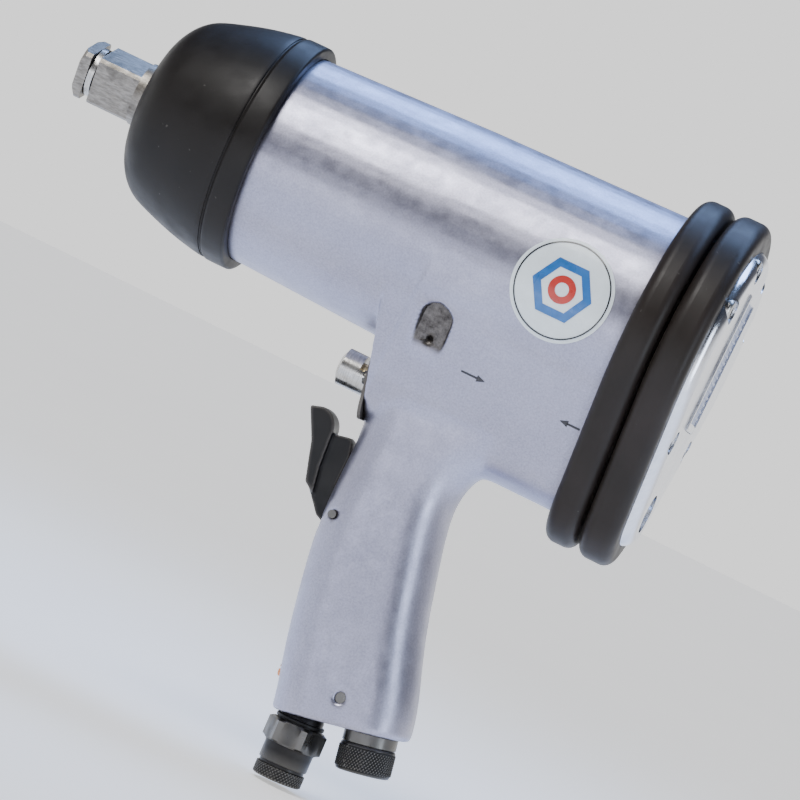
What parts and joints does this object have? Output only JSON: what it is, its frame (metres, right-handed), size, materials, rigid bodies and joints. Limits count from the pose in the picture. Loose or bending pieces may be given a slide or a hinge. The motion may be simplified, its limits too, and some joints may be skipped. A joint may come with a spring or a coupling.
{
  "type": "impact wrench",
  "caption": "Pistol-grip air impact wrench with a square drive, vane motor, twin rocking hammers, lever trigger, push-through reverse valve and swivelling exhaust deflector.",
  "frame": {"origin": "centre of the anvil's front face, on the motor axis", "axes": "+X along the motor axis towards the rear cover, -Z down the grip, -Y is the tool's left side"},
  "size_m": [0.2706, 0.112, 0.2672],
  "materials": {
    "cast_aluminium": "satin die-cast, fine grain",
    "polished_cover": "polished casting",
    "rubber": "semi-matte moulded rubber",
    "seal_rubber": "nitrile seal",
    "drive_steel": "ground and milled alloy steel",
    "bright_steel": "machined steel",
    "hardened_steel": "hardened and ground",
    "plate_iron": "ground faces",
    "bronze": "plain machined",
    "valve_brass": "machined",
    "vane_composite": "fabric-filled resin",
    "black_oxide": "black oxide, oiled",
    "trigger_black": "black satin",
    "copper_screw": "copper-coloured plating",
    "gasket_paper": "gasket paper",
    "muffler_felt": "sintered wick",
    "valve_plastic": "moulded valve disc",
    "badge_white": "printed label",
    "nameplate": "anodised plate"
  },
  "bodies": {
    "housing": {"motor_housing": "cast_aluminium", "nose_bushing": "bronze", "nose_boot": "rubber", "front_bumper_ring": "rubber", "rear_bumper_ring": "rubber", "rear_cover": "polished_cover", "rear_gasket": "gasket_paper", "cover_screws": "bright_steel", "cover_nameplate": "nameplate", "side_badge": "badge_white", "cylinder_liner": "hardened_steel", "front_end_plate": "plate_iron", "rear_end_plate": "plate_iron", "alignment_dowel": "bright_steel", "front_bearing_outer_ring": "bright_steel", "rear_bearing_outer_ring": "bright_steel", "reverse_valve_bushing": "bronze", "valve_cover_plate": "trigger_black", "plate_screws": "black_oxide", "trigger_pin": "bright_steel", "grip_cross_pin": "bright_steel", "throttle_seat": "bronze", "throttle_spring": "bright_steel", "inlet_bushing": "black_oxide", "inlet_oring": "seal_rubber", "inlet_screen": "bright_steel", "exhaust_adapter": "black_oxide", "deflector_clip": "bright_steel", "exhaust_muffler": "muffler_felt"},
    "drive_train": {"rotor": "hardened_steel", "rotor_vanes": "vane_composite", "front_bearing_inner_ring": "bright_steel", "rear_bearing_inner_ring": "bright_steel", "hammer_cage": "hardened_steel", "hammer_pins": "bright_steel"},
    "front_ball_set": {"front_bearing_balls": "bright_steel", "front_bearing_cage": "bronze"},
    "rear_ball_set": {"rear_bearing_balls": "bright_steel", "rear_bearing_cage": "bronze"},
    "front_hammer": {"front_hammer": "hardened_steel"},
    "rear_hammer": {"rear_hammer": "hardened_steel"},
    "anvil_group": {"anvil": "drive_steel", "socket_retaining_ring": "bright_steel", "retaining_ring_oring": "seal_rubber"},
    "reverse_valve": {"reverse_valve_spool": "valve_brass", "valve_orings": "seal_rubber", "front_valve_button": "bright_steel", "rear_valve_button": "bright_steel"},
    "trigger": {"trigger": "trigger_black"},
    "throttle": {"throttle_stem": "bright_steel", "throttle_valve": "valve_plastic"},
    "deflector": {"exhaust_deflector": "black_oxide"},
    "regulator": {"regulator_screw": "copper_screw"}
  },
  "joints": [
    {"name": "rotor_spin", "type": "hinge", "parent": "housing", "child": "drive_train", "pos_m": [0.19, 0, 0], "axis": [1, 0, 0], "continuous": true},
    {"name": "front_balls_orbit", "type": "hinge", "parent": "housing", "child": "front_ball_set", "pos_m": [0.144, 0, 0], "axis": [1, 0, 0], "continuous": true},
    {"name": "rear_balls_orbit", "type": "hinge", "parent": "housing", "child": "rear_ball_set", "pos_m": [0.232, 0, 0], "axis": [1, 0, 0], "continuous": true},
    {"name": "anvil_spin", "type": "hinge", "parent": "housing", "child": "anvil_group", "pos_m": [0.045, 0, 0], "axis": [1, 0, 0], "continuous": true},
    {"name": "front_hammer_rock", "type": "hinge", "parent": "drive_train", "child": "front_hammer", "pos_m": [0.08, 0.028, 0], "axis": [1, 0, 0], "range_deg": [-5, 5]},
    {"name": "rear_hammer_rock", "type": "hinge", "parent": "drive_train", "child": "rear_hammer", "pos_m": [0.11, -0.028, 0], "axis": [1, 0, 0], "range_deg": [-5, 5]},
    {"name": "trigger_pull", "type": "hinge", "parent": "housing", "child": "trigger", "pos_m": [0.1655, 0, -0.1113], "axis": [0, 1, 0], "range_deg": [0, 8.5], "stiffness_Nm_per_rad": 0.6, "springref_deg": -8.59},
    {"name": "throttle_push", "type": "slide", "parent": "housing", "child": "throttle", "axis": [1, 0, 0], "range_m": [0, 0.0023], "deforming": ["throttle_spring"]},
    {"name": "reverse_shift", "type": "slide", "parent": "housing", "child": "reverse_valve", "axis": [1, 0, 0], "range_m": [0, 0.008]},
    {"name": "deflector_swivel", "type": "hinge", "parent": "housing", "child": "deflector", "pos_m": [0.213, 0, -0.17893], "axis": [0.2028, 0, -0.9792], "continuous": true},
    {"name": "regulator_turn", "type": "hinge", "parent": "housing", "child": "regulator", "pos_m": [0.17, 0, -0.172], "axis": [1, 0, 0], "range_deg": [-180, 180]}
  ],
  "couplings": [
    {"joint": "anvil_spin", "follows": "rotor_spin", "ratio": 1},
    {"joint": "front_balls_orbit", "follows": "rotor_spin", "ratio": 0.3974},
    {"joint": "rear_balls_orbit", "follows": "rotor_spin", "ratio": 0.3817},
    {"joint": "throttle_push", "follows": "trigger_pull", "m_per_rad": 0.0153}
  ]
}
